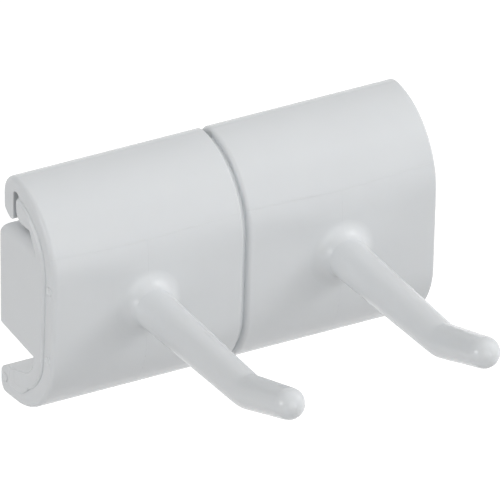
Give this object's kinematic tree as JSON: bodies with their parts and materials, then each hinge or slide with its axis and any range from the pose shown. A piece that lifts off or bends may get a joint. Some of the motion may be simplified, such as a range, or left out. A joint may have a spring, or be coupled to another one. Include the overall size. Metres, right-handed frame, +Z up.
{
  "type": "double hook",
  "caption": "Plastic rail-mount double hook: a rounded, grooved body that clips onto a wall rail by its slots and block, with long round pegs that bend up near the tip.",
  "frame": {"origin": "middle of the flat back face of the block that sits in the rail", "axes": "+X along the rail, to the right for someone who faces the hooks; +Y back towards the rail, so the hooks point to -Y; +Z up"},
  "size_m": [0.082, 0.0735, 0.0458],
  "materials": {
    "white_plastic": "satin, moulded"
  },
  "bodies": {
    "root": {"double_hook": "white_plastic"}
  },
  "joints": []
}
